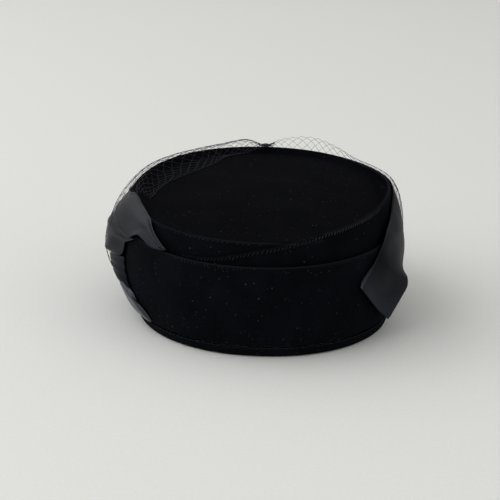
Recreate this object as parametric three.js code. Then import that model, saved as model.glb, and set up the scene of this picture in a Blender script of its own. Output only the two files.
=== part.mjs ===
// A velvet pillbox hat: an oval tip, a draped wrap round its shoulder whose ends cross at the
// back, a tall side cuff on a bound hem, one wide satin ribbon with a bow on the left side and a
// folded loop on the right, and a net veil round the front.
// Millimetres, +Z up. The wearer looks along +Y, so +X is the wearer's right and -Y the back.
// Angles are in degrees round +Z: 0 is the right side, 90 the front, 180 the left and -90 the back.
import * as THREE from "three";

// Outer half sizes of the ovals that the hat is built on.
const RIM = { halfWidth: 86, halfLength: 96.3, centreX: 0, centreY: 0 };
const CUFF_TOP = { halfWidth: 94.6, halfLength: 107.7, centreX: -3, centreY: 1 };
const TIP_EDGE = { halfWidth: 88, halfLength: 97.6, centreX: -1, centreY: 0 };
const SQUARENESS = 2.12; // 2 is an ellipse

// Heights at the back and the front; each edge lies in a plane that rises towards the front.
const CUFF_HEIGHT = { back: 64, front: 76 };
const TIP_HEIGHT = { back: 77.3, front: 86.4 };
const TIP_DOME = 3.5;

const CUFF_WALL = 2.4;
const WRAP_WALL = 1.9;
const TIP_WALL = 2.2;
const RIBBON_WALL = 1.0;
const NET_WALL = 1.0;
const GAP = 0.4; // between neighbouring pieces

const HEM = { height: 7.4, proud: 0.4, wall: 3, edgeRadius: 0.6 };
const FLARE_POWER = 3.2; // how early the cuff spreads above the rim
const SHOULDER_POWER = 1.5; // how soon the skin draws in above the cuff
const WRAP_TUCK = 9; // how far the wrap reaches down inside the cuff
const WRAP_STEP = WRAP_WALL + GAP; // the outer end of the wrap lies this far outside the inner end
const LEAN_POWER = 4; // how suddenly the wrap leans in below its edge
const LIP_CLEAR = 0.3; // from the outer wrap's face to the skin that the ribbons lie on

// The wrap's run, from its inner end under the overlap, round the left side, the front and the
// right side, to its tapered outer end. rise is the upper edge's height above the tip's edge, and
// lean how far that edge leans in over the tip.
const WRAP_RUN = [
  { angle: -68, rise: -1.5, lean: 0 },
  { angle: -90, rise: 0, lean: 0 },
  { angle: -150, rise: 0, lean: 0 },
  { angle: -168, rise: 2, lean: 0 },
  { angle: -200, rise: 3.2, lean: 0 },
  { angle: -270, rise: 3.2, lean: 0 },
  { angle: -300, rise: 3.2, lean: 1.6 },
  { angle: -325, rise: 3.6, lean: 3.4 },
  { angle: -336, rise: 5.2, lean: 4.6 },
  { angle: -353, rise: 8, lean: 5.1 },
  { angle: -366, rise: 9.8, lean: 5.1 },
  { angle: -378, rise: 10.3, lean: 5 },
  { angle: -392, rise: 9.4, lean: 4.2 },
  { angle: -406, rise: 8.1, lean: 2.4 },
  { angle: -418, rise: 6.4, lean: 0.8 },
  { angle: -429, rise: 4, lean: 0.1 },
  { angle: -442, rise: -0.6, lean: 0 },
  { angle: -453, rise: -4.5, lean: 0 },
  { angle: -465, rise: -9.4, lean: 0 },
  { angle: -474, rise: -11.6, lean: 0 },
  { angle: -482, rise: -12.4, lean: 0 },
];

// Where the hand-blocked side swells: how far, and how widely round in degrees and up in height.
const SWELLS = [{ angle: 185, height: 32, round: 24, up: 15, size: 2.6 }];

// Sections across each ribbon, in order along it, from its upper edge to its lower edge, each point
// as [angle, height, stand-off from the skin].
const BAND_SECTIONS = [
  { upper: [166, 64, 4], middle: [166, 52, 4], lower: [166, 40, 4] },
  { upper: [150, 82, 2.2], middle: [150.5, 73.4, 2.4], lower: [152, 40, 2.2] },
  { upper: [120, 87, 1.4], middle: [120.3, 75.4, 1.8], lower: [122, 41, 1.4] },
  { upper: [85, 88, 1.4], middle: [85.6, 76, 1.8], lower: [88, 42, 1.4] },
  { upper: [45, 87.2, 1.3], middle: [46.5, 74.4, 1.8], lower: [52, 42, 1.4] },
  { upper: [14, 88, 1.4], middle: [16.5, 70, 1.7], lower: [24, 41, 1.4] },
  { upper: [-6, 89, 1.1], middle: [0, 64, 1.7], lower: [8, 40, 2] },
  { upper: [-16, 86.2, 1.3], middle: [-6, 60, 2.8], lower: [-1, 38.5, 2.4] },
  { upper: [-23.5, 81, 1.8], middle: [-11, 56, 4.4], lower: [-6, 37.5, 2.5] },
  { upper: [-30, 75, 2], middle: [-17.5, 51, 4.8], lower: [-11, 36.5, 4.4] },
  { upper: [-36.5, 65.5, 2.2], middle: [-24, 46, 4.4], lower: [-14.5, 34.5, 9] },
  { upper: [-43, 54.5, 2.4], middle: [-30.5, 38, 4.4], lower: [-18, 30.5, 10.9] },
  { upper: [-46.5, 49.5, 2.6], middle: [-36.5, 33.5, 4.4], lower: [-24.5, 27, 10.7] },
  { upper: [-48, 46.5, 2.6], middle: [-38.5, 29.5, 4.4], lower: [-28.2, 19.5, 8.8] },
  { upper: [-48.8, 44.2, 2.4], middle: [-39, 26, 4.2], lower: [-30, 13, 6.6] },
  { upper: [-47.6, 47, 1.2], middle: [-37.5, 30, 2.2], lower: [-28, 15, 4] },
  { upper: [-41, 56, 1.2], middle: [-30, 40, 1.4], lower: [-19, 24, 2.2] },
  { upper: [-31, 64, 1.2], middle: [-19, 48, 1.3], lower: [-8, 32, 1.3] },
];
const TUCK_SECTIONS = [
  { over: [168, 87.2, -1.2], upper: [168, 86.2, 0.9], middle: [167.5, 78, 1.2], lower: [166, 70, 3.4] },
  { over: [181, 85.6, -1], upper: [181, 84.6, 0.9], middle: [180.5, 77.5, 1.4], lower: [178, 69, 6] },
  { over: [187, 84.9, -1.4], upper: [187, 83.8, 0.9], middle: [187, 77.5, 1.6], lower: [187, 69.2, 6.6] },
  { over: [194, 83.8, -1.8], upper: [194.5, 82.7, 0.9], middle: [195.5, 77, 1.9], lower: [196.2, 68, 6] },
  { over: [201.5, 82.4, -1.8], upper: [202, 81.4, 0.9], middle: [203.5, 75.6, 2], lower: [203.5, 65.6, 5.2] },
  { over: [209, 81.3, -0.8], upper: [209.6, 80, 1], middle: [210.6, 74.6, 2.4], lower: [209.5, 65.4, 4.6] },
  { over: [214.5, 79.6, 1.1], upper: [215, 78.2, 1.6], middle: [216, 74, 2.4], lower: [215, 70, 3.6] },
  { over: [219.5, 76, 1.5], upper: [220, 75, 1.7], middle: [220.5, 72, 2.1], lower: [219.5, 68.8, 2.8] },
  { over: [226, 71.6, 1.5], upper: [226, 70.6, 1.6], middle: [225.5, 68.6, 1.8], lower: [224.5, 66.4, 2] },
  { over: [231.9, 67.4, 1.3], upper: [231.7, 67.2, 1.3], middle: [231.2, 67, 1.3], lower: [230.6, 66.7, 1.3] },
];
const LOOP_SECTIONS = [
  { upper: [196, 42, 7.5], middle: [185, 40.5, 9.4], lower: [176, 40, 8.5] },
  { upper: [201, 46.5, 5], middle: [187, 44.5, 11.5], lower: [174, 44, 9.5] },
  { upper: [203.3, 50.5, 4.5], middle: [187, 51, 11.6], lower: [172, 52, 10] },
  { upper: [205, 57.5, 4.3], middle: [187, 58.5, 11], lower: [170, 59, 9] },
  { upper: [209, 61.6, 3.8], middle: [188, 62.4, 9.6], lower: [169, 63, 7.6] },
  { upper: [212, 65.4, 2], middle: [190, 65.6, 4.4], lower: [168, 66, 4] },
];
const TAIL_SECTIONS = [
  { upper: [200, 31.5, 1.2], middle: [196, 31, 2.4], lower: [182, 28, 3] },
  { upper: [202.4, 27.4, 1.2], middle: [202, 27.4, 5.8], lower: [185, 22, 3] },
  { upper: [207.1, 24.8, 1.2], middle: [204.7, 24.6, 5.8], lower: [190, 18, 3.6] },
  { upper: [209.4, 20.3, 1.2], middle: [208.8, 22, 4.8], lower: [196, 14.5, 3.8] },
  { upper: [213.6, 17, 1.2], middle: [210.9, 17.2, 3.9], lower: [202, 12, 3.2] },
  { upper: [216.7, 13.9, 1.2], middle: [213.9, 12.8, 2.8], lower: [208, 10.5, 2.4] },
  { upper: [218.1, 10.2, 1.2], middle: [216.6, 9.4, 1.6], lower: [213, 9, 1.4] },
];
const KNOT_SECTIONS = [
  { upper: [170, 46, 1.4], middle: [170, 37, 1.6], lower: [170, 28, 1.4] },
  { upper: [171, 44, 5.6], middle: [171, 36.5, 6], lower: [171, 27, 4.5] },
  { upper: [180, 43.5, 7.4], middle: [180, 34, 7.4], lower: [180, 21.5, 5.2] },
  { upper: [189, 43, 6.8], middle: [190, 34.6, 6.8], lower: [191, 27, 5.6] },
  { upper: [197, 44, 4.2], middle: [198, 39, 4.4], lower: [199, 34.5, 3.8] },
  { upper: [203, 46, 1.3], middle: [204, 41.5, 1.2], lower: [204, 38, 1.2] },
];

// Sections down the veil, as [height, stand-off] from the foot up to the shoulder. crest is how far
// the net stands above the wrap's edge, and reach how far its free edge lies in over the tip.
const VEIL_SECTIONS = [
  { angle: 192, foot: [15, 9], middle: [54, 13.9], shoulder: [70, 8.4], crest: 3.6, reach: 6 },
  { angle: 172, foot: [14, 8.6], middle: [53, 13.6], shoulder: [71, 7.6], crest: 3, reach: 16 },
  { angle: 150, foot: [14, 6], middle: [48, 7.6], shoulder: [74.6, 5.2], crest: 1.6, reach: 26 },
  { angle: 125, foot: [12, 6], middle: [48, 6], shoulder: [76.2, 4.4], crest: 1.4, reach: 24 },
  { angle: 111, foot: [12, 6], middle: [50, 5.6], shoulder: [76.8, 4.4], crest: 2, reach: 11 },
  { angle: 98, foot: [12, 6], middle: [50, 5.6], shoulder: [77, 4.4], crest: 3.4, reach: 5 },
  { angle: 90, foot: [12, 6], middle: [50, 5.6], shoulder: [77, 4.4], crest: 1.4, reach: 2 },
  { angle: 82, foot: [12, 6], middle: [50, 5.6], shoulder: [77, 4.4], crest: 3.8, reach: 5 },
  { angle: 69, foot: [12, 6], middle: [50, 5.6], shoulder: [76.8, 4.4], crest: 4.2, reach: 6 },
  { angle: 57, foot: [14, 6], middle: [50, 5.6], shoulder: [76.4, 4.4], crest: 3.4, reach: 5 },
  { angle: 44, foot: [18, 5.4], middle: [52, 5], shoulder: [75.4, 4.2], crest: 2.2, reach: 3 },
  { angle: 26, foot: [28, 4], middle: [54, 3.8], shoulder: [73.8, 4], crest: 1.6, reach: 2 },
  { angle: 8, foot: [42, 4.4], middle: [58, 4.2], shoulder: [71.8, 4], crest: 1.4, reach: 1 },
  { angle: -4, foot: [50, 5.4], middle: [60, 4.8], shoulder: [70.6, 4], crest: 1.4, reach: 1 },
];
// How the veil turns in over the wrap's edge: standing off and part of the way up its crest, at the
// crest, and at the free edge, which keeps clear of the wrap and of the tip.
const VEIL_EDGE = {
  turn: { rise: 0.6, standOff: 2.9 },
  top: { inset: 3 },
  fold: { inset: 4, overLip: 1.4 },
  overTip: 0.6,
};
const GATHER = { angle: 90, halfWidth: 2.4, radius: 1.3, lift: 4.9, inset: 1.5 };

const AROUND = 64; // segments round the rings

const VELVET = { color: 0x0a0b0e, roughness: 0.95, metalness: 0 };
const SATIN = { color: 0x26272c, roughness: 0.45, metalness: 0 };
const NET = { color: 0x121214, roughness: 0.8, metalness: 0 };

const clamp = THREE.MathUtils.clamp;
const lerp = THREE.MathUtils.lerp;
const signedPower = (value, power) => Math.sign(value) * Math.abs(value) ** power;

function mixOvals(from, to, share) {
  const mixed = {};
  for (const key of Object.keys(from)) mixed[key] = lerp(from[key], to[key], share);
  return mixed;
}

const grownOval = (oval, size) => ({
  ...oval,
  halfWidth: oval.halfWidth + size,
  halfLength: oval.halfLength + size,
});

// The point of an oval at an angle, and its outward direction there, pushed out by standOff.
function ovalPoint(oval, angle, standOff) {
  const radians = THREE.MathUtils.degToRad(angle);
  const across = signedPower(Math.cos(radians), 2 / SQUARENESS);
  const along = signedPower(Math.sin(radians), 2 / SQUARENESS);
  const outward = new THREE.Vector2(
    signedPower(across, SQUARENESS - 1) / oval.halfWidth,
    signedPower(along, SQUARENESS - 1) / oval.halfLength,
  ).normalize();
  return new THREE.Vector2(
    oval.centreX + oval.halfWidth * across,
    oval.centreY + oval.halfLength * along,
  ).addScaledVector(outward, standOff);
}

// The height of an edge that lies in a plane rising from the back to the front.
function edgeHeight(edge, oval, angle) {
  const y = ovalPoint(oval, angle, 0).y - oval.centreY;
  return lerp(edge.back, edge.front, (y / oval.halfLength + 1) / 2);
}

const cuffHeight = (angle) => edgeHeight(CUFF_HEIGHT, CUFF_TOP, angle);
const tipHeight = (angle) => edgeHeight(TIP_HEIGHT, TIP_EDGE, angle);

const RUN_CURVE = new THREE.CatmullRomCurve3(
  WRAP_RUN.map(({ angle, rise, lean }) => new THREE.Vector3(angle, rise, lean)),
);

// How far the wrap's upper edge rises above the tip's edge and leans in over the tip, at an angle
// of its run.
function wrapEdge(run) {
  const last = WRAP_RUN.length - 1;
  let row = 0;
  while (row < last - 1 && WRAP_RUN[row + 1].angle > run) row += 1;
  const from = WRAP_RUN[row].angle;
  const share = (from - run) / (from - WRAP_RUN[row + 1].angle);
  const point = RUN_CURVE.getPoint((row + share) / last);
  return { rise: point.y, lean: point.z };
}

// How far the wrap lies outside its inner turn, at an angle of its run.
const turnStep = (run) => WRAP_STEP * THREE.MathUtils.smoothstep(-run, 170, 380);

// The run's angle where the wrap's outermost turn passes an angle.
const outerRun = (angle) => (angle > WRAP_RUN[0].angle ? angle - 360 : angle);

// The height of the wrap's upper edge, on its outermost turn.
const lipHeight = (angle) => tipHeight(angle) + Math.max(0, wrapEdge(outerRun(angle)).rise);

// How far the side swells beyond its oval.
function swellAt(angle, height) {
  let swell = 0;
  for (const { angle: middle, height: level, round, up, size } of SWELLS) {
    const turned = THREE.MathUtils.euclideanModulo(angle - middle + 180, 360) - 180;
    swell += size * Math.exp(-((turned / round) ** 2) - ((height - level) / up) ** 2);
  }
  return swell;
}

// The outer skin of the body that ribbons and veil are laid on: the cuff up to its top edge, and
// above that a shoulder that draws in to the wrap's upper edge.
function skinPoint(angle, height, standOff) {
  const turned = angle > 180 ? angle - 360 : angle;
  const top = cuffHeight(turned);
  const flare = 1 - (1 - clamp(height / top, 0, 1)) ** FLARE_POWER;
  let oval = mixOvals(RIM, CUFF_TOP, flare);
  if (height > top) {
    const share = clamp((height - top) / (lipHeight(turned) - top), 0, 1);
    const run = outerRun(turned);
    const lip = grownOval(TIP_EDGE, turnStep(run) + LIP_CLEAR - wrapEdge(run).lean);
    oval = mixOvals(CUFF_TOP, lip, share ** SHOULDER_POWER);
  }
  const flat = ovalPoint(oval, turned, standOff + swellAt(turned, height));
  return new THREE.Vector3(flat.x, flat.y, height);
}

// A solid sheet: rows of points are its middle surface, and wall its thickness.
function sheetSolid(rows, wall) {
  const last = rows.length - 1;
  const side = rows[0].length - 1;
  const positions = [];
  const faces = [];
  const along = new THREE.Vector3();
  const across = new THREE.Vector3();
  for (const face of [0.5, -0.5]) {
    for (let i = 0; i <= last; i += 1) {
      for (let j = 0; j <= side; j += 1) {
        along.subVectors(rows[Math.min(i + 1, last)][j], rows[Math.max(i - 1, 0)][j]);
        across.subVectors(rows[i][Math.min(j + 1, side)], rows[i][Math.max(j - 1, 0)]);
        const normal = along.clone().cross(across).normalize();
        positions.push(...rows[i][j].clone().addScaledVector(normal, face * wall));
      }
    }
  }
  const perFace = rows.length * rows[0].length;
  const front = (i, j) => i * rows[0].length + j;
  const back = (i, j) => perFace + front(i, j);
  const quad = (a, b, c, d) => faces.push(a, b, c, a, c, d);
  for (let i = 0; i < last; i += 1) {
    for (let j = 0; j < side; j += 1) {
      quad(front(i, j), front(i + 1, j), front(i + 1, j + 1), front(i, j + 1));
      quad(back(i, j), back(i, j + 1), back(i + 1, j + 1), back(i + 1, j));
    }
    quad(front(i, 0), back(i, 0), back(i + 1, 0), front(i + 1, 0));
    quad(front(i, side), front(i + 1, side), back(i + 1, side), back(i, side));
  }
  for (let j = 0; j < side; j += 1) {
    quad(front(0, j), front(0, j + 1), back(0, j + 1), back(0, j));
    quad(front(last, j), back(last, j), back(last, j + 1), front(last, j + 1));
  }
  const geometry = new THREE.BufferGeometry();
  geometry.setAttribute("position", new THREE.Float32BufferAttribute(positions, 3));
  geometry.setIndex(faces);
  geometry.computeVertexNormals();
  return geometry;
}

// A closed ring or disc: a lathe's profile, each vertex then placed by its angle, by its distance
// from the axis and by its height.
function placedLathe(profile, place) {
  const geometry = new THREE.LatheGeometry(profile, AROUND);
  const position = geometry.getAttribute("position");
  for (let i = 0; i < position.count; i += 1) {
    const x = position.getX(i);
    const z = position.getZ(i);
    const angle = THREE.MathUtils.radToDeg(Math.atan2(x, z));
    position.setXYZ(i, ...place(angle, Math.hypot(x, z), position.getY(i)));
  }
  geometry.computeVertexNormals();
  return geometry;
}

const LATHE_RADIUS = 100; // a ring's profile is drawn this far out, so that its walls stay apart

// The hem: a bound edge with a flat foot, laid along the rim.
function hemBinding() {
  const { height, proud, wall, edgeRadius } = HEM;
  const inner = proud - wall;
  const profile = [
    [proud - edgeRadius, 0],
    [proud - edgeRadius * 0.3, edgeRadius * 0.3],
    [proud, edgeRadius],
    [proud, height - edgeRadius * 0.6],
    [proud - edgeRadius * 0.6, height],
    [inner, height],
    [inner, edgeRadius * 0.5],
    [inner + edgeRadius * 0.5, 0],
    [proud - edgeRadius, 0],
  ].map(([out, up]) => new THREE.Vector2(LATHE_RADIUS + out, up));
  return placedLathe(profile, (angle, radius, height) =>
    skinPoint(angle, height, radius - LATHE_RADIUS),
  );
}

// The cuff: one flared wall from just above the hem to its folded top edge.
function sideCuff() {
  const rows = 6;
  const outer = [];
  const inner = [];
  for (let i = 0; i <= rows; i += 1) {
    outer.push(new THREE.Vector2(LATHE_RADIUS, i / rows));
    inner.unshift(new THREE.Vector2(LATHE_RADIUS - CUFF_WALL, i / rows));
  }
  const foot = HEM.height + GAP;
  return placedLathe([...outer, ...inner, outer[0].clone()], (angle, radius, share) =>
    skinPoint(angle, lerp(foot, cuffHeight(angle), share), radius - LATHE_RADIUS),
  );
}

// The tip: a shallow domed oval that fills the wrap.
function crownTip() {
  const rings = 4;
  const edge = TIP_EDGE.halfWidth - WRAP_WALL - GAP;
  const top = [];
  const under = [];
  for (let i = 0; i <= rings; i += 1) {
    top.unshift(new THREE.Vector2((edge * i) / rings, 0));
    under.push(new THREE.Vector2((edge * i) / rings, -TIP_WALL));
  }
  return placedLathe([...under, ...top], (angle, radius, down) => {
    const oval = { ...TIP_EDGE };
    const share = radius / edge;
    oval.halfWidth = radius;
    oval.halfLength = (TIP_EDGE.halfLength - WRAP_WALL - GAP) * share;
    const flat = radius > 0 ? ovalPoint(oval, angle, 0) : new THREE.Vector2(oval.centreX, 0);
    const middle = (TIP_HEIGHT.back + TIP_HEIGHT.front) / 2;
    const slope = (TIP_HEIGHT.front - TIP_HEIGHT.back) / (2 * TIP_EDGE.halfLength);
    return [flat.x, flat.y, middle + slope * flat.y + TIP_DOME * (1 - share ** 2) + down - GAP];
  });
}

// The wrap: one strip round the crown's shoulder, a little more than a whole turn, that winds
// outwards so that its tapered outer end laps over its inner end.
function crownWrap() {
  const across = 5;
  const steps = 74;
  const first = WRAP_RUN[0].angle;
  const end = WRAP_RUN[WRAP_RUN.length - 1].angle;
  const foot = grownOval(CUFF_TOP, -CUFF_WALL - GAP - WRAP_STEP);
  const rows = [];
  for (let i = 0; i <= steps; i += 1) {
    const angle = lerp(first, end, i / steps);
    const turned = angle + 360 * Math.round(-angle / 360);
    const { rise, lean } = wrapEdge(angle);
    const low = cuffHeight(turned) - WRAP_TUCK;
    const full = tipHeight(turned) - low;
    const row = [];
    for (let j = 0; j <= across; j += 1) {
      const up = j / across;
      const height = lerp(low, low + full + rise, up);
      const share = clamp((height - low) / full, 0, 1);
      const outward = turnStep(angle) - lean * up ** LEAN_POWER - WRAP_WALL / 2;
      const flat = ovalPoint(mixOvals(foot, TIP_EDGE, share * share), turned, outward);
      row.push(new THREE.Vector3(flat.x, flat.y, height));
    }
    rows.push(row);
  }
  return sheetSolid(rows, WRAP_WALL);
}

// A ribbon laid on the skin through its sections.
function ribbon(sections, steps, across) {
  const lines = Object.keys(sections[0]).map(
    (line) =>
      new THREE.CatmullRomCurve3(sections.map((section) => new THREE.Vector3(...section[line]))),
  );
  const rows = [];
  for (let i = 0; i <= steps; i += 1) {
    const section = new THREE.CatmullRomCurve3(lines.map((line) => line.getPoint(i / steps)));
    const row = [];
    for (let j = 0; j <= across; j += 1) {
      row.push(skinPoint(...section.getPoint(j / across).toArray()));
    }
    rows.push(row);
  }
  return sheetSolid(rows.reverse(), RIBBON_WALL);
}

// The veil: the outer form of a net drawn from the left bow round the front to the right side,
// and folded in over the wrap's edge.
function veil() {
  const profileOf = ({ angle, foot, middle, shoulder, crest, reach }) => {
    const turned = angle > 180 ? angle - 360 : angle;
    const lip = lipHeight(turned);
    const { turn, top, fold, overTip } = VEIL_EDGE;
    return [
      [angle, ...foot],
      [angle, ...middle],
      [angle, ...shoulder],
      [angle, lip + crest * turn.rise, turn.standOff],
      [angle, lip + crest, -top.inset],
      [angle, Math.max(lip + fold.overLip, tipHeight(turned) + TIP_DOME + overTip), -fold.inset - reach],
    ];
  };
  const profiles = VEIL_SECTIONS.map(profileOf);
  const guides = profiles[0].map(
    (_, level) =>
      new THREE.CatmullRomCurve3(profiles.map((profile) => new THREE.Vector3(...profile[level]))),
  );
  const around = 38;
  const down = 10;
  const rows = [];
  for (let i = 0; i <= around; i += 1) {
    const section = new THREE.CatmullRomCurve3(guides.map((guide) => guide.getPoint(i / around)));
    const row = [];
    for (let j = 0; j <= down; j += 1) {
      row.push(skinPoint(...section.getPoint(j / down).toArray()));
    }
    rows.push(row);
  }
  return sheetSolid(rows, NET_WALL);
}

// The gather: a short roll of net sewn down at the middle of the front edge.
function veilGather() {
  const { angle, halfWidth, radius, lift, inset } = GATHER;
  const centre = skinPoint(angle, lipHeight(angle) + lift, -inset);
  const geometry = new THREE.CapsuleGeometry(radius, 2 * halfWidth, 3, 8);
  return geometry.rotateZ(Math.PI / 2).translate(centre.x, centre.y, centre.z);
}

function addPiece(group, name, geometry, finish) {
  const piece = new THREE.Mesh(geometry, new THREE.MeshStandardMaterial(finish));
  piece.name = name;
  group.add(piece);
}

const hat = new THREE.Group();
addPiece(hat, "hem_binding", hemBinding(), VELVET);
addPiece(hat, "side_cuff", sideCuff(), VELVET);
addPiece(hat, "crown_wrap", crownWrap(), VELVET);
addPiece(hat, "crown_tip", crownTip(), VELVET);
addPiece(hat, "ribbon_band", ribbon(BAND_SECTIONS, 66, 4), SATIN);
addPiece(hat, "left_tuck", ribbon(TUCK_SECTIONS, 14, 6), SATIN);
addPiece(hat, "left_loop", ribbon(LOOP_SECTIONS, 12, 5), SATIN);
addPiece(hat, "left_tail", ribbon(TAIL_SECTIONS, 12, 3), SATIN);
addPiece(hat, "left_knot", ribbon(KNOT_SECTIONS, 16, 3), SATIN);
addPiece(hat, "veil", veil(), NET);
addPiece(hat, "veil_gather", veilGather(), NET);

export default hat;
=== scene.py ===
"""A black velvet pillbox hat with a satin ribbon, a bow and a net veil, laid over its CAD frame.

The wearer looks along +Y, so +X is the wearer's right and -Y the back. Angles are in degrees round
+Z: 0 is the right side, 90 the front, 180 the left and -90 the back. Shapes are worked out in
millimetres and meshes are in metres.
"""

import math
import random

import bpy
import numpy as np
from bpy.props import FloatProperty, FloatVectorProperty, IntProperty, PointerProperty
from mathutils import Matrix, Vector, noise


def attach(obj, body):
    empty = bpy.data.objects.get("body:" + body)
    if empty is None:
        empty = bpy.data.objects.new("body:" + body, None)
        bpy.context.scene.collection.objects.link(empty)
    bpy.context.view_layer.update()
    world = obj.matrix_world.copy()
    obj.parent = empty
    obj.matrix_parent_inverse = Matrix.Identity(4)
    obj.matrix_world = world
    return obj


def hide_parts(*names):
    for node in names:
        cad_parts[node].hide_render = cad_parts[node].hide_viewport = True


bl_info = {
    "name": "Velvet pillbox hat",
    "version": (1, 0, 0),
    "blender": (4, 5, 0),
    "location": "View3D > Sidebar > Hat",
    "description": "Lays velvet, satin ribbon, stitches and net over a pillbox hat's frame",
    "category": "Object",
}

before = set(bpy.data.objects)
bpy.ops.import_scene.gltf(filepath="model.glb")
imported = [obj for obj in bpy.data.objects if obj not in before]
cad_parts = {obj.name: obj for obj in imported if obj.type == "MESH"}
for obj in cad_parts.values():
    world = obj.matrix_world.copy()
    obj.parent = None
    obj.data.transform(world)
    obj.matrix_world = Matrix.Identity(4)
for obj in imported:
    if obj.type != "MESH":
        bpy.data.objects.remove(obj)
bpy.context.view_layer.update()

MM = 0.001


def edge_oval(node, low, high, grow=0.0):
    """The oval round the points of a node that lie between two heights, in millimetres."""
    points = np.array([point.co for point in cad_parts[node].data.vertices]) / MM
    points = points[(points[:, 2] >= low) & (points[:, 2] <= high)]
    least, most = points.min(axis=0), points.max(axis=0)
    middle, half = (least + most) / 2, (most - least) / 2
    return np.array([half[0] + grow, half[1] + grow, middle[0], middle[1]])


# The ovals that the hat is built on, read from the frame. The last is the wrap's, which stands
# round the tip and is larger than the tip's own edge by the inset.
TIP_INSET = 2.3
RIM = edge_oval("hem_binding", 0, 0.1, 0.2)
CUFF_TOP = edge_oval("side_cuff", 63, 77)
TIP_EDGE = edge_oval("crown_tip", 0, 100, TIP_INSET)
WIDEN = np.array([1, 1, 0, 0])  # times a length, it widens an oval evenly
SQUARENESS = 2.12  # 2 is an ellipse
FLARE_POWER = 3.2  # how early the cuff spreads above the rim
SHOULDER_POWER = 1.5  # how soon the skin draws in above the cuff

# Heights at the back and the front; each edge rises evenly towards the front.
CUFF_HEIGHT = (64, 76)
TIP_HEIGHT = (77.3, 86.4)
TIP_DOME = 3.5
HEM_HEIGHT = 7.4
CUFF_FOOT = 7.8

HEM_WALL = 3.0
CUFF_WALL = 2.4
WRAP_WALL = 1.9
TIP_WALL = 2.2
FOLD_RADIUS = 0.9  # how round a wall's edges are
TIP_SINK = 0.4  # how far the tip lies below the height of its edge
WRAP_TUCK = 9  # how far the wrap reaches down inside the cuff
WRAP_GAP = 0.4  # between the wrap's foot and the cuff round it
WRAP_STEP = 2.3  # how far the wrap's outer turn lies outside its inner turn
STEP_RUN = (170, 380)  # it steps outwards between these degrees of its run, counted up
LEAN_POWER = 4  # how suddenly the wrap leans in below its edge
LIP_CLEAR = 0.3
EDGE_HIGHLIGHT_REACH = 0.45  # how far the painted highlight along an edge reaches beside it

# The wrap's run, from its inner end round the left, front and right to its tapered outer end, as
# (angle, rise of its upper edge above the tip's edge, how far that edge leans in over the tip).
WRAP_RUN = [
    (-68, -1.5, 0),
    (-90, 0, 0),
    (-150, 0, 0),
    (-168, 2, 0),
    (-200, 3.2, 0),
    (-270, 3.2, 0),
    (-300, 3.2, 1.6),
    (-325, 3.6, 3.4),
    (-336, 5.2, 4.6),
    (-353, 8, 5.1),
    (-366, 9.8, 5.1),
    (-378, 10.3, 5),
    (-392, 9.4, 4.2),
    (-406, 8.1, 2.4),
    (-418, 6.4, 0.8),
    (-429, 4, 0.1),
    (-442, -0.6, 0),
    (-453, -4.5, 0),
    (-465, -9.4, 0),
    (-474, -11.6, 0),
    (-482, -12.4, 0),
]

# Where the hand-blocked side swells, as (angle, height, spread round, spread up, how far).
SWELLS = [(185, 32, 24, 15, 2.6)]

# Angles of the wrap's run between which its crossing edge is stitched, and between which those
# stitches get a paler thread, a painted highlight where they catch the light.
CROSSING_RUN = (-474, -390)
LIT_STITCH_RUN = (-430, -397)
WRAP_RADIUS = 97  # that its stitches are spaced on

# Sections across each ribbon, in order along it, from its upper edge to its lower edge, each point
# as (angle, height, stand-off from the skin).
BAND_SECTIONS = [
    ((176, 63, 1.6), (176, 56, 1.8), (176, 49, 1.8)),
    ((166, 70, 2.4), (166, 60, 2.6), (166, 46, 2.8)),
    ((150, 82, 2.2), (150.5, 73.4, 2.4), (152, 40, 2.2)),
    ((120, 87, 1.4), (120.3, 75.4, 1.8), (122, 41, 1.4)),
    ((85, 88, 1.4), (85.6, 76, 1.8), (88, 42, 1.4)),
    ((45, 87.2, 1.3), (46.5, 74.4, 1.8), (52, 42, 1.4)),
    ((14, 88, 1.4), (16.5, 70, 1.7), (24, 41, 1.4)),
    ((-6, 89, 1.1), (0, 64, 1.7), (8, 40, 2)),
    ((-16, 86.2, 1.3), (-6, 60, 2.8), (-1, 38.5, 2.4)),
    ((-23.5, 81, 1.8), (-11, 56, 4.4), (-6, 37.5, 2.5)),
    ((-30, 75, 2), (-17.5, 51, 4.8), (-11, 36.5, 4.4)),
    ((-36.5, 65.5, 2.2), (-24, 46, 4.4), (-14.5, 34.5, 9)),
    ((-43, 54.5, 2.4), (-30.5, 38, 4.4), (-18, 30.5, 10.9)),
    ((-46.5, 49.5, 2.6), (-36.5, 33.5, 4.4), (-24.5, 27, 10.7)),
    ((-48, 46.5, 2.6), (-38.5, 29.5, 4.4), (-28.2, 19.5, 8.8)),
    ((-48.8, 44.2, 2.4), (-39, 26, 4.2), (-30, 13, 6.6)),
    ((-47.6, 47, 1.2), (-37.5, 30, 2.2), (-28, 15, 4)),
    ((-41, 56, 1.2), (-30, 40, 1.4), (-19, 24, 2.2)),
    ((-31, 64, 1.2), (-19, 48, 1.3), (-8, 32, 1.3)),
]
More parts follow.
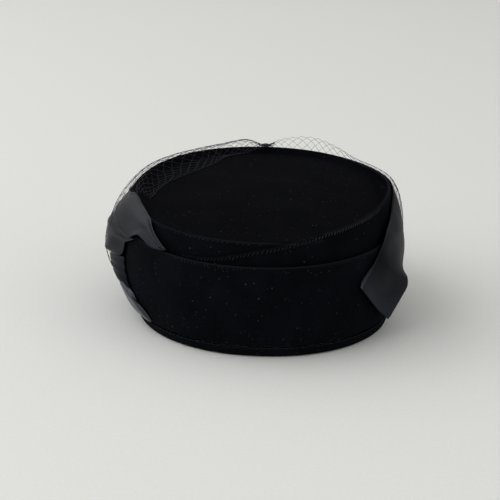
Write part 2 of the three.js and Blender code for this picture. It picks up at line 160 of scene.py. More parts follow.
TUCK_SECTIONS = [
    ((168, 77, 0.9), (168, 76, 0.9), (167.5, 73, 1.2), (166, 70, 3.4)),
    ((181, 81, 0.8), (181, 80, 0.9), (180.5, 75.4, 1.2), (178, 69, 5.4)),
    ((187, 83.6, -0.4), (187, 82.4, 0.7), (187, 76.6, 1.4), (187, 69, 6)),
    ((194, 83.8, -1.8), (194.5, 82.7, 0.9), (195.5, 77, 1.9), (196.2, 68, 6)),
    ((201.5, 82.4, -1.8), (202, 81.4, 0.9), (203.5, 75.6, 2), (203.5, 65.6, 5.2)),
    ((209, 81.3, -0.8), (209.6, 80, 1), (210.6, 74.6, 2.4), (209.5, 65.4, 4.6)),
    ((214.5, 79.6, 1.1), (215, 78.2, 1.6), (216, 74, 2.4), (215, 70, 3.6)),
    ((219.5, 76, 1.5), (220, 75, 1.7), (220.5, 72, 2.1), (219.5, 68.8, 2.8)),
    ((226, 71.6, 1.5), (226, 70.6, 1.6), (225.5, 68.6, 1.8), (224.5, 66.4, 2)),
    ((231.9, 67.4, 1.3), (231.7, 67.2, 1.3), (231.2, 67, 1.3), (230.6, 66.7, 1.3)),
]
LOOP_SECTIONS = [
    ((191, 42, 5), (183, 40.5, 8.6), (176, 40, 8)),
    ((197.5, 46.5, 2.8), (186, 44.5, 10.8), (174, 44, 9.2)),
    ((200, 50.5, 2.4), (187, 51, 11.2), (172, 52, 9.8)),
    ((202, 57.5, 2.4), (187, 58.5, 10.8), (170, 59, 9)),
    ((207, 61.6, 2.6), (188, 62.4, 9.4), (169, 63, 7.6)),
    ((212, 65.4, 2), (190, 65.6, 4.4), (168, 66, 4)),
]
TAIL_SECTIONS = [
    ((200, 31.5, 1.2), (196, 31, 2.4), (182, 28, 3)),
    ((202.4, 27.4, 1.2), (200, 27.4, 4.2), (185, 22, 3)),
    ((207.1, 24.8, 1.2), (202.7, 24.6, 4.2), (190, 18, 3.6)),
    ((209.4, 20.3, 1.2), (207.3, 22, 3.6), (196, 14.5, 3.8)),
    ((213.6, 17, 1.2), (209.9, 17.2, 3.1), (202, 12, 3.2)),
    ((216.7, 13.9, 1.2), (213.9, 12.8, 2.8), (208, 10.5, 2.4)),
    ((218.1, 10.2, 1.2), (216.6, 9.4, 1.6), (213, 9, 1.4)),
]
KNOT_SECTIONS = [
    ((170, 46, 1.4), (170, 37, 1.6), (170, 28, 1.4)),
    ((171, 44, 5.6), (171, 36.5, 6), (171, 27, 4.5)),
    ((180, 43.5, 7.4), (180, 34, 7.4), (180, 21.5, 5.2)),
    ((187, 43, 6.8), (188, 35, 6.8), (189, 27.5, 5.6)),
    ((194, 44, 4), (195.5, 36, 4.4), (198.5, 27.5, 4.2)),
    ((199, 45.5, 1.2), (201, 38, 1.2), (204.5, 27, 1.2)),
]

# Painted light and shade: how bright the satin is painted along a ribbon, for its lit stretches and
# the shade of its folds, as (share of its length, brightness).
BAND_PAINTED_LIGHT = [
    (0, 1), (0.32, 1), (0.4, 0.32), (0.45, 0.4), (0.55, 1.15), (0.63, 0.42), (0.69, 1.1),
    (0.74, 1.6), (0.81, 2),
]
TUCK_PAINTED_LIGHT = [(0, 1), (0.3, 0.95), (0.5, 1.45), (0.75, 1.7), (1, 1.7)]
TAIL_PAINTED_LIGHT = [(0, 2), (0.3, 1.8), (0.65, 1.2), (1, 1.2)]
NO_PAINTED_LIGHT = [(0, 1), (1, 1)]

# The bow's pieces as (name, sections, steps along and across, flat size in metres, gloss, painted
# light, creases). The gloss is painted light too: each piece's copy of the satin is made brighter
# where the piece is lit and duller where it lies in shade. The creases are (depth, how many lie
# across, how far they drift along the ribbon).
BOW_PIECES = [
    ("tuck", TUCK_SECTIONS, (90, 32), (0.019, 0.112), 0.7, TUCK_PAINTED_LIGHT, (0.8, 1.6, 0.8)),
    ("loop", LOOP_SECTIONS, (60, 40), (0.05, 0.035), 0.35, NO_PAINTED_LIGHT, (0.7, 2, 1.2)),
    ("tail", TAIL_SECTIONS, (70, 24), (0.015, 0.07), 2.6, TAIL_PAINTED_LIGHT, (0.1, 1, 0)),
    ("knot", KNOT_SECTIONS, (60, 32), (0.017, 0.055), 0.2, NO_PAINTED_LIGHT, (0.35, 3.5, 0.4)),
]

# Sections down the veil as (angle, foot, middle, shoulder, crest, reach). The first three are
# (height, stand-off), crest is the net's height above the wrap's edge, and reach is how far its
# free edge lies in over the tip.
VEIL_SECTIONS = [
    (192, (29, 5), (51, 11.8), (71, 6.6), 2.2, 6),
    (172, (23, 6), (51, 12), (72, 6), 2, 16),
    (150, (14, 5), (48, 6), (74.6, 4), 1, 26),
    (125, (12, 4.6), (48, 4.6), (76.2, 3.4), 0.8, 24),
    (111, (12, 4.6), (50, 4.4), (76.8, 3.2), 2.6, 11),
    (98, (12, 4.6), (50, 4.4), (77, 3.2), 5.6, 5),
    (90, (12, 4.6), (50, 4.4), (77, 3.2), 0.8, 2),
    (82, (12, 4.6), (50, 4.4), (77, 3.2), 8.5, 5),
    (69, (12, 4.6), (50, 4.4), (76.8, 3.2), 13, 6),
    (57, (14, 4.6), (50, 4.4), (76.4, 3.2), 8, 5),
    (44, (18, 3.2), (52, 3), (75.4, 2.6), 1, 3),
    (26, (28, 3), (54, 2.8), (73.8, 2.4), 0.8, 2),
    (8, (42, 3), (58, 2.9), (71.8, 2.4), 0.8, 1),
    (-4, (50, 3.6), (60, 3.4), (70.6, 2.6), 0.8, 1),
]
NET_LENGTH = 372  # round the front
NET_DEPTH = 128  # from its foot to its free edge
NET_WANDER = 0.12  # how far a crossing strays, in steps from one to the next
NET_STOP = 0.62  # the share of its depth that the net has right of the tuft

# The camera's place and aim in metres, its roll in degrees and its lens in millimetres.
CAMERA_PLACE = Vector((0, -1.0462, 0.3849))
CAMERA_AIM = Vector((-0.0102, -0.0013, 0.041))
CAMERA_ROLL = 1.26
CAMERA_LENS = 114.1
CAMERA_SENSOR = 36
LIGHTS_AIM = Vector((0, 0, 0.05))  # in metres


# --- Shape of the hat ---------------------------------------------------------------------------


def lerp(start, end, share):
    return start + (end - start) * share


def clamp(value, low=0.0, high=1.0):
    return max(low, min(high, value))


def eased(value, low=0.0, high=1.0):
    """0 below low and 1 above high, with a soft start and end between them."""
    share = clamp((value - low) / (high - low))
    return share * share * (3 - 2 * share)


def powered(value, power):
    """A power of a value's size, with the value's sign."""
    return math.copysign(abs(value) ** power, value)


def oval_point(oval, angle, off):
    """The point (x, y) of an oval at an angle, pushed outwards by off."""
    half_x, half_y, middle_x, middle_y = oval
    turn = math.radians(angle)
    across = powered(math.cos(turn), 2 / SQUARENESS)
    along = powered(math.sin(turn), 2 / SQUARENESS)
    out_x = powered(across, SQUARENESS - 1) / half_x
    out_y = powered(along, SQUARENESS - 1) / half_y
    size = math.hypot(out_x, out_y)
    return (
        middle_x + half_x * across + off * out_x / size,
        middle_y + half_y * along + off * out_y / size,
    )


def edge_height(edge, angle):
    """The height of an edge at an angle, from its heights at the back and the front."""
    rise = powered(math.sin(math.radians(angle)), 2 / SQUARENESS)
    return lerp(edge[0], edge[1], (rise + 1) / 2)


def wrap_run(angle):
    """The rise and the lean of the wrap's upper edge, on a smooth curve through its run."""
    row = 0
    while row < len(WRAP_RUN) - 2 and WRAP_RUN[row + 1][0] > angle:
        row += 1
    share = (WRAP_RUN[row][0] - angle) / (WRAP_RUN[row][0] - WRAP_RUN[row + 1][0])
    run = [np.array(point, float) for point in WRAP_RUN]
    return spline(run, (row + share) / (len(run) - 1))[1:]


def outer_run(angle):
    """The run's angle where the wrap's outermost turn passes an angle."""
    turned = angle - 360 if angle > 180 else angle
    return turned - 360 if turned > WRAP_RUN[0][0] else turned


def lip_top(angle):
    """The height of the wrap's upper edge, on its outermost turn."""
    return edge_height(TIP_HEIGHT, angle) + max(0, wrap_run(outer_run(angle))[0])


def inner_edge(angle):
    """The height of the wrap's upper edge where its inner turn shows at the back."""
    return edge_height(TIP_HEIGHT, angle) if -180 < angle < -80 else lip_top(angle)


def turn_step(run):
    """How far the wrap lies outside its inner turn, at an angle of its run."""
    return WRAP_STEP * eased(-run, *STEP_RUN)


def swell(angle, height):
    """How far the side swells out at a point."""
    total = 0.0
    for middle, level, round_spread, up_spread, size in SWELLS:
        turned = (angle - middle + 180) % 360 - 180
        total += size * math.exp(-((turned / round_spread) ** 2) - ((height - level) / up_spread) ** 2)
    return total


def skin(angle, height, off):
    """A point off the outer skin that ribbons and veil are laid on, in metres."""
    top = edge_height(CUFF_HEIGHT, angle)
    oval = lerp(RIM, CUFF_TOP, 1 - (1 - clamp(height / top)) ** FLARE_POWER)
    if height > top:
        run = outer_run(angle)
        lip = TIP_EDGE + WIDEN * (turn_step(run) + LIP_CLEAR - wrap_run(run)[1])
        share = clamp((height - top) / (lip_top(angle) - top))
        oval = lerp(CUFF_TOP, lip, share**SHOULDER_POWER)
    x, y = oval_point(oval, angle, off + swell(angle, height))
    return Vector((x, y, height)) * MM


def wrap_point(angle, height, out):
    """A point off the outer face of the wrap, whose angle runs on past a whole turn."""
    foot = CUFF_TOP - WIDEN * (CUFF_WALL + WRAP_STEP + WRAP_GAP)
    low = edge_height(CUFF_HEIGHT, angle) - WRAP_TUCK
    share = clamp((height - low) / (edge_height(TIP_HEIGHT, angle) - low))
    rise, lean = wrap_run(angle)
    lift = clamp((height - low) / (edge_height(TIP_HEIGHT, angle) + rise - low))
    outward = turn_step(angle) - lean * lift**LEAN_POWER
    x, y = oval_point(lerp(foot, TIP_EDGE, share * share), angle, outward + out)
    return Vector((x, y, height)) * MM


def wrap_edge(angle):
    """The height of the wrap's upper edge at an angle of its run."""
    return edge_height(TIP_HEIGHT, angle) + wrap_run(angle)[0]


def tip_height(x, y):
    """The height of the tip's upper face over a point."""
    half_x, half_y, middle_x, middle_y = TIP_EDGE
    across = (x - middle_x) / (half_x - TIP_INSET)
    along = (y - middle_y) / (half_y - TIP_INSET)
    share = math.hypot(across, along)
    slope = (TIP_HEIGHT[1] - TIP_HEIGHT[0]) / (2 * half_y)
    return sum(TIP_HEIGHT) / 2 + slope * y + TIP_DOME * (1 - min(share, 1) ** 2) - TIP_SINK


def unevenness(angle, height, size, reach):
    """The slow unevenness of hand-worked cloth, up to about size either way.

    A larger reach puts more swings round the hat.
    """
    turn = math.radians(angle)
    spot = Vector((math.cos(turn) * reach, math.sin(turn) * reach, height / 30))
    return size * noise.noise(spot)


def spline(points, share):
    """A point of the smooth curve through points, from 0 at its first to 1 at its last."""
    last = len(points) - 1
    at = min(int(share * last), last - 1)
    weight = share * last - at
    here, there = points[at], points[at + 1]
    before = points[at - 1] if at > 0 else 2 * here - there
    after = points[at + 2] if at + 2 <= last else 2 * there - here
    span = max(np.linalg.norm(there - here), 1e-4) ** 0.5
    span_before = max(np.linalg.norm(here - before), 1e-4) ** 0.5
    span_after = max(np.linalg.norm(after - there), 1e-4) ** 0.5
    leave = span * (
        (here - before) / span_before
        - (there - before) / (span_before + span)
        + (there - here) / span
    )
    arrive = span * (
        (there - here) / span
        - (after - here) / (span + span_after)
        + (after - there) / span_after
    )
    cubic = 2 * here - 2 * there + leave + arrive
    square = 3 * there - 3 * here - 2 * leave - arrive
    return here + weight * (leave + weight * (square + weight * cubic))


# --- Making meshes ------------------------------------------------------------------------------


def finish_piece(piece, material, nodes=()):
    """Gives a piece its material and its body, and hides the CAD nodes that it stands for."""
    piece.data.materials.clear()
    piece.data.materials.append(material)
    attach(piece, "root")
    if nodes:
        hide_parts(*nodes)


def apply_modifier(piece, kind, **settings):
    """Adds a modifier to a piece and applies it."""
    bpy.context.view_layer.objects.active = piece
    modifier = piece.modifiers.new(kind.title(), kind)
    for name, value in settings.items():
        setattr(modifier, name, value)
    bpy.ops.object.modifier_apply(modifier=modifier.name)


def cloth(name, columns, filled=False):
    """Adds a grid and lays its points along columns of points, closing what meets.

    Points that fall on each other are merged, so a ring or a closed outline joins up. With filled,
    the ends that are still open are closed.
    """
    along, across = len(columns) - 1, len(columns[0]) - 1
    bpy.ops.object.select_all(action="DESELECT")
    bpy.ops.mesh.primitive_grid_add(x_subdivisions=along, y_subdivisions=across, size=1)
    piece = bpy.context.object
    piece.name = piece.data.name = name
    for point in piece.data.vertices:
        column = columns[round((point.co.x + 0.5) * along)]
        point.co = column[round((point.co.y + 0.5) * across)]
    bpy.ops.object.mode_set(mode="EDIT")
    bpy.ops.mesh.select_all(action="SELECT")
    bpy.ops.mesh.remove_doubles(threshold=1e-6)
    if filled:
        bpy.ops.mesh.select_all(action="DESELECT")
        bpy.ops.mesh.select_non_manifold()
        bpy.ops.mesh.fill_holes(sides=0)
        bpy.ops.mesh.select_all(action="SELECT")
    bpy.ops.mesh.normals_make_consistent(inside=False)
    bpy.ops.object.mode_set(mode="OBJECT")
    bpy.ops.object.shade_smooth()
    return piece


def wall_outline(low, high, wall, rows):
    """A wall's closed outline as (height, out): up outside, over, down inside and back under."""
    radius = FOLD_RADIUS
    arc = [math.pi / 2 * k / 4 for k in range(1, 5)]
    up = [(lerp(low + radius, high - radius, k / rows), 0) for k in range(rows + 1)]
    over = [(high - radius * (1 - math.sin(t)), -radius * (1 - math.cos(t))) for t in arc]
    half = up + over
    middle = (low + high) / 2
    turned = [(2 * middle - height, -wall - out) for height, out in half]
    return half + turned + [half[0]]


def paint_edge_highlights(piece, *edges):
    """Marks how near each point is to the edges, each given as its height at an angle, for a painted
    highlight along them.
    """
    edge_highlight = piece.data.attributes.new("edge_highlight", "FLOAT", "POINT")
    for point, mark in zip(piece.data.vertices, edge_highlight.data):
        angle = math.degrees(math.atan2(point.co.y, point.co.x))
        nearest = min(abs(edge(angle) - point.co.z / MM) for edge in edges)
        mark.value = math.exp(-((nearest / EDGE_HIGHLIGHT_REACH) ** 2))


def ribbon_columns(sections, steps, across, crease=None):
    """The columns of a ribbon laid on the skin through its sections."""
    lines = [[np.array(point, float) for point in line] for line in zip(*sections)]
    columns = []
    for i in range(steps + 1):
        section = [spline(line, i / steps) for line in lines]
        column = []
        for j in range(across + 1):
            angle, height, off = spline(section, j / across)
            if crease:
                off += crease(i / steps, j / across)
            column.append(skin(angle, height, off))
        columns.append(column)
    return columns


def sewn(name, seats, radius):
    """Rows of thread stitches; a seat is (one end, other end, outward direction) in metres."""
    bpy.ops.object.select_all(action="DESELECT")
    bpy.ops.mesh.primitive_uv_sphere_add(segments=6, ring_count=6, radius=1)
    piece = bpy.context.object
    piece.name = piece.data.name = name
    stitch = np.array([p.co for p in piece.data.vertices])
    faces = [tuple(face.vertices) for face in piece.data.polygons]
    points, copies = [], []
    for start, end, outward in seats:
        run = (end - start) / 2
        side = run.cross(outward).normalized()
        arch = side.cross(run).normalized()
        shape = np.stack([side * radius, arch * radius, run])
        lift = np.outer(1 - stitch[:, 2] ** 2, np.array(arch) * radius)
        copies += [tuple(index + len(points) for index in face) for face in faces]
        points += list(stitch @ shape + lift + np.array((start + end) / 2))
    piece.data.clear_geometry()
    piece.data.from_pydata(points, [], copies)
    piece.data.shade_smooth()
    return piece


# --- Materials ----------------------------------------------------------------------------------


def linear(colour):
    """An sRGB hex colour as linear red, green, blue and alpha."""
    parts = [int(colour[i : i + 2], 16) / 255 for i in (1, 3, 5)]
    return [p / 12.92 if p <= 0.04045 else ((p + 0.055) / 1.055) ** 2.4 for p in parts] + [1]


def add_node(tree, kind, settings=None, inputs=None):
    """Adds a node; settings are its own, and inputs are values or sockets to link from."""
    made = tree.nodes.new(kind)
    for name, value in (settings or {}).items():
        setattr(made, name, value)
    for name, value in (inputs or {}).items():
        if isinstance(value, bpy.types.NodeSocket):
            tree.links.new(value, made.inputs[name])
        else:
            made.inputs[name].default_value = value
    return made


def new_material(name):
    """An empty material and its node tree."""
    material = bpy.data.materials.new(name)
    material.use_nodes = True
    material.node_tree.nodes.clear()
    return material, material.node_tree


def close_material(tree, surface, normal):
    """Adds the shader with the values and sockets of its surface, and the output."""
    shader = add_node(tree, "ShaderNodeBsdfPrincipled", None, {**surface, "Normal": normal})
    add_node(tree, "ShaderNodeOutputMaterial", None, {"Surface": shader.outputs[0]})


def per_metre(millimetres):
    """A texture scale whose features are this far apart."""
    return 1 / (millimetres * MM)


def mixed(tree, share, first, second):
    """The colour between two, each a socket or a linear colour."""
    mix = add_node(tree, "ShaderNodeMix", {"data_type": "RGBA"}, {0: share, 6: first, 7: second})
    return mix.outputs[2]


def velvet_material(settings, name, depth):
    """Silk velvet, short pile brushed by hand: a near-black depth, a bluish bloom where the pile is
    seen from the side, slow lighter patches where it lies another way, and a little pale lint. The
    depth is painted shade that darkens the whole pile towards black, 0 for none and 1 for black."""
    material, tree = new_material(name)
    spot = add_node(tree, "ShaderNodeTexCoord").outputs["Object"]
    patches = add_node(
        tree, "ShaderNodeTexNoise", None,
        {"Vector": spot, "Scale": per_metre(26), "Detail": 3, "Roughness": 0.6},
    )
    lay = add_node(
        tree, "ShaderNodeMapRange", None,
        {"Value": patches.outputs["Fac"], "From Min": 0.36, "From Max": 0.68},
    )
    pile = mixed(tree, lay.outputs[0], [*settings.pile_colour, 1], [*settings.bloom_colour, 1])
    pile_grain = add_node(
        tree, "ShaderNodeTexNoise", None,
        {"Vector": spot, "Scale": per_metre(0.7), "Detail": 2},
    )
    grain = add_node(
        tree, "ShaderNodeMapRange", None,
        {"Value": pile_grain.outputs["Fac"], "From Min": 0.3, "From Max": 0.75, "To Max": 0.35},
    )
    pile = mixed(tree, grain.outputs[0], pile, [*settings.bloom_colour, 1])
    lint = add_node(
        tree, "ShaderNodeTexVoronoi", None,
        {"Vector": spot, "Scale": per_metre(settings.lint_spacing / MM)},
    )
    kept = add_node(
        tree, "ShaderNodeSeparateColor", None, {"Color": lint.outputs["Color"]}
    )
    reach = add_node(
        tree, "ShaderNodeMapRange", None,
        {"Value": kept.outputs[0], "From Min": 0.2, "From Max": 1, "To Min": 0.02, "To Max": 0.2},
    )
    speck = add_node(
        tree, "ShaderNodeMath", {"operation": "LESS_THAN"},
        {0: lint.outputs["Distance"], 1: reach.outputs[0]},
    )
    strength = add_node(
        tree, "ShaderNodeMath", {"operation": "MULTIPLY"},
        {0: speck.outputs[0], 1: kept.outputs[1]},
    )
    # Painted shade: depth darkens the whole pile towards black.
    pile = mixed(tree, depth, pile, linear("#000000"))
    pile = mixed(tree, strength.outputs[0], pile, linear("#34353A"))
    # Painted highlight: the pile is lightened beside the folded edges, as if they catch the light.
    edge_highlight = add_node(tree, "ShaderNodeAttribute", {"attribute_name": "edge_highlight"})
    pile = mixed(tree, edge_highlight.outputs["Fac"], pile, linear("#16181D"))
    bump = add_node(
        tree, "ShaderNodeBump", None,
        {"Height": pile_grain.outputs["Fac"], "Strength": 0.35, "Distance": 0.4 * MM},
    )
    close_material(
        tree,
        {
            "Base Color": pile,
            "Roughness": 0.9,
            "Specular IOR Level": 0.02,
            "Sheen Weight": 0.003,
            "Sheen Roughness": 0.35,
            "Sheen Tint": linear("#9AA2B8"),
        },
        bump.outputs[0],
    )
    return material


SATIN_SPECULAR = 0.17  # of satin whose gloss is 1
SATIN_SHEEN = 0.04


def satin_material(settings, name, gloss, painted_light):
    """Satin ribbon, woven warp-faced: a soft silvery gloss drawn out across the fine warp lines, slow
    dents where it has been handled, and a paler woven line along its upper edge that also serves as a
    painted highlight. The gloss scales its specular level and sheen, 1 for a fresh ribbon; each piece
    is given its own, higher where it is lit and lower where it lies in shade, so it is painted light.
    The painted light is a row of (share of its length, brightness) that lightens and darkens its
    colour and specular along it, painted light and shade."""
    material, tree = new_material(name)
    place = add_node(tree, "ShaderNodeUVMap", {"uv_map": "UVMap"}).outputs[0]
    # The warp is 0.1 mm apart, too fine to show, so its lines are drawn 0.6 mm apart, and closer
    # on the pieces where the ribbon is drawn together.
    lines = add_node(
        tree, "ShaderNodeMapping", None,
        {"Vector": place, "Scale": (4, settings.warp_width / (0.6 * MM), 1)},
    )
    warp = add_node(
        tree, "ShaderNodeTexNoise", None, {"Vector": lines.outputs[0], "Scale": 1, "Detail": 3}
    )
    wear = add_node(
        tree, "ShaderNodeTexNoise", None,
        {
            "Vector": add_node(tree, "ShaderNodeTexCoord").outputs["Object"],
            "Scale": per_metre(32),
            "Detail": 0.6,
        },
    )
    share = add_node(
        tree, "ShaderNodeMath", {"operation": "MULTIPLY_ADD"},
        {0: warp.outputs["Fac"], 1: 0.6, 2: wear.outputs["Fac"]},
    )
    tone = add_node(
        tree, "ShaderNodeMapRange", None,
        {"Value": share.outputs[0], "From Min": 0.6, "From Max": 1},
    )
    colour = mixed(
        tree, tone.outputs[0], [*settings.shade_colour, 1], [*settings.ribbon_colour, 1]
    )
    # Along the ribbon from its start, and across it from its upper edge.
    along, across = add_node(
        tree, "ShaderNodeSeparateXYZ", None, {"Vector": place}
    ).outputs[:2]
    # The woven upper edge is paler, and this pale line also stands in as a painted highlight along the
    # edge.
    edge = add_node(
        tree, "ShaderNodeMapRange", None,
        {"Value": across, "From Min": 0.03, "From Max": 0.012, "To Max": 0.8},
    )
    colour = mixed(tree, edge.outputs[0], colour, [*settings.edge_and_highlight_colour, 1])
    # Painted light and shade along the ribbon: a ramp holds shares up to 1, so it carries half the
    # brightness and the next node doubles it.
    ramp = add_node(tree, "ShaderNodeValToRGB", None, {"Fac": along})
    for position, _ in painted_light[:-2]:
        ramp.color_ramp.elements.new(position)
    for element, (position, brightness) in zip(ramp.color_ramp.elements, painted_light):
        element.position = position
        element.color = [brightness / 2] * 3 + [1]
    # Painted shade: the ribbon's lower half, which turns in towards the hat, is darkened in colour and
    # specular.
    turned = add_node(
        tree, "ShaderNodeMapRange", None,
        {"Value": across, "From Min": 0.45, "To Min": 2, "To Max": 1.3},
    )
    painted_brightness = add_node(
        tree, "ShaderNodeVectorMath", {"operation": "SCALE"},
        {0: ramp.outputs[0], "Scale": turned.outputs[0]},
    )
    painted_colour = add_node(
        tree, "ShaderNodeVectorMath", {"operation": "MULTIPLY"}, {0: colour, 1: painted_brightness.outputs[0]}
    )
    painted_shine = add_node(
        tree, "ShaderNodeMath", {"operation": "MULTIPLY"},
        {0: painted_brightness.outputs[0], 1: SATIN_SPECULAR * gloss},
    )
    bump = add_node(
        tree, "ShaderNodeBump", None,
        {"Height": warp.outputs["Fac"], "Strength": 0.15, "Distance": 0.2 * MM},
    )
    dents = add_node(
        tree, "ShaderNodeBump", None,
        {
            "Height": wear.outputs["Fac"],
            "Strength": 0.5,
            "Distance": 4 * MM,
            "Normal": bump.outputs[0],
        },
    )
    tangent = add_node(tree, "ShaderNodeTangent", {"direction_type": "UV_MAP"})
    close_material(
        tree,
        {
            "Base Color": painted_colour.outputs[0],
            "Roughness": 0.36,
            "Specular IOR Level": painted_shine.outputs[0],
            "Specular Tint": linear("#C2C9DA"),
            "Anisotropic": 0.6,
            "Sheen Weight": SATIN_SHEEN * gloss,
            "Sheen Roughness": 0.4,
            "Sheen Tint": linear("#C2C9DA"),
            "Tangent": tangent.outputs[0],
        },
        dents.outputs[0],
    )
    return material


def net_material(settings):
    """Millinery net, stiffened rayon strands twisted at each crossing: a dull dark grey line that
    catches a small broken light along the twist."""
    material, tree = new_material("millinery_net")
    spot = add_node(tree, "ShaderNodeTexCoord").outputs["Object"]
    twist = add_node(
        tree, "ShaderNodeTexNoise", None, {"Vector": spot, "Scale": per_metre(1.6), "Detail": 1}
    )
    tone = add_node(
        tree, "ShaderNodeMapRange", None,
        {"Value": twist.outputs["Fac"], "From Min": 0.35, "From Max": 0.65},
    )
    colour = mixed(tree, tone.outputs[0], linear("#121316"), [*settings.strand_colour, 1])
    bump = add_node(
        tree, "ShaderNodeBump", None,
        {"Height": twist.outputs["Fac"], "Strength": 0.3, "Distance": 0.1 * MM},
    )
    close_material(
        tree,
        {"Base Color": colour, "Roughness": 0.5, "Specular IOR Level": 0.3},
        bump.outputs[0],
    )
    return material


def thread_material(name, colour):
    """Mercerised sewing thread, two plies twisted: fine slanting bands and a slight gloss."""
    material, tree = new_material(name)
    spot = add_node(tree, "ShaderNodeTexCoord").outputs["Object"]
    ply = add_node(
        tree, "ShaderNodeTexWave", {"bands_direction": "DIAGONAL"},
        {"Vector": spot, "Scale": per_metre(3), "Distortion": 1.5},
    )
    tone = mixed(tree, ply.outputs["Fac"], linear("#1C1D20"), colour)
    bump = add_node(
        tree, "ShaderNodeBump", None,
        {"Height": ply.outputs["Fac"], "Strength": 0.3, "Distance": 0.05 * MM},
    )
    close_material(
        tree, {"Base Color": tone, "Roughness": 0.5, "Specular IOR Level": 0.25}, bump.outputs[0]
    )
    return material


def floor_material(settings):
    """Matt paper sweep: an even pale grey with the faintest tooth."""
    material, tree = new_material("matt_paper")
    spot = add_node(tree, "ShaderNodeTexCoord").outputs["Object"]
    tooth = add_node(tree, "ShaderNodeTexNoise", None, {"Vector": spot, "Scale": per_metre(2)})
    colour = mixed(
        tree, tooth.outputs["Fac"], [*settings.floor_colour, 1], linear("#EFEFED")
    )
    bump = add_node(
        tree, "ShaderNodeBump", None,
        {"Height": tooth.outputs["Fac"], "Strength": 0.05, "Distance": 0.1 * MM},
    )
    close_material(tree, {"Base Color": colour, "Roughness": 0.85}, bump.outputs[0])
    return material


# --- Sizes and colours that a user may change ----------------------------------------------------


def colour_setting(name, description, colour):
    """A colour property with an sRGB hex default."""
    return FloatVectorProperty(
        name=name, description=description, subtype="COLOR", size=3, min=0, max=1,
        default=linear(colour)[:3],
    )


def length_setting(name, description, millimetres):
    """A length property, in metres, with its default in millimetres."""
    return FloatProperty(
        name=name, description=description, unit="LENGTH", min=0.0001, precision=5,
        default=millimetres * MM,
    )


class HatVelvetSettings(bpy.types.PropertyGroup):
    """The velvet body."""

    pile_colour: colour_setting("Pile", "Velvet where its pile stands up", "#07080B")
    bloom_colour: colour_setting("Bloom", "Velvet where its pile lies over", "#0D0E13")
    lint_spacing: length_setting("Lint spacing", "Distance between specks of lint", 2.8)
    unevenness: length_setting("Unevenness", "How far the hand-worked cloth wanders", 0.7)
    edge_bead: length_setting("Wrap bead", "How far the wrap's rolled edge stands out", 0.5)


class HatSatinSettings(bpy.types.PropertyGroup):
    """The satin ribbon."""

    ribbon_colour: colour_setting("Ribbon", "Satin in its lighter lines", "#1D1E24")
    shade_colour: colour_setting("Shade", "Satin in its darker lines", "#121318")
    # The woven edge's paler colour, also a painted highlight along the edge.
    edge_and_highlight_colour: colour_setting("Edge", "The ribbon's woven edge", "#34353C")
    warp_width: length_setting("Warp width", "The width that the warp lines are spread over", 58)
    thickness: length_setting("Thickness", "The satin's thickness", 0.5)


class HatThreadSettings(bpy.types.PropertyGroup):
    """The hand stitches."""

    thread_colour: colour_setting("Thread", "Stitches that catch the light", "#4C4D52")
    dark_colour: colour_setting("Dark thread", "Stitches that match the velvet", "#222327")
    spacing: length_setting("Spacing", "Distance between the wrap's stitches", 2.4)
    thickness: length_setting("Thickness", "The thread's thickness", 0.27)


class HatVeilSettings(bpy.types.PropertyGroup):
    """The net veil."""

    strand_colour: colour_setting("Strand", "The net's strands", "#34353A")
    cell: length_setting("Mesh size", "A diamond's width", 9)
    thickness: length_setting("Thickness", "A strand's thickness", 0.26)
    seed: IntProperty(name="Seed", description="Which small wander the strands take", default=7)


class HatStageSettings(bpy.types.PropertyGroup):
    """The floor, the lights and the camera."""

    floor_colour: colour_setting("Floor", "The paper sweep", "#E6E6E4")
    key_power: FloatProperty(
        name="Key light", description="Main light, from the left", default=24, subtype="POWER"
    )
    fill_power: FloatProperty(
        name="Fill light", description="Weak light from the right", default=2, subtype="POWER"
    )
    back_power: FloatProperty(
        name="Back light", description="Light from beyond on the left", default=7, subtype="POWER"
    )
    room_light: FloatProperty(
        name="Room light", description="Strength of the light from all round", default=0.66
    )


# --- Pieces -------------------------------------------------------------------------------------


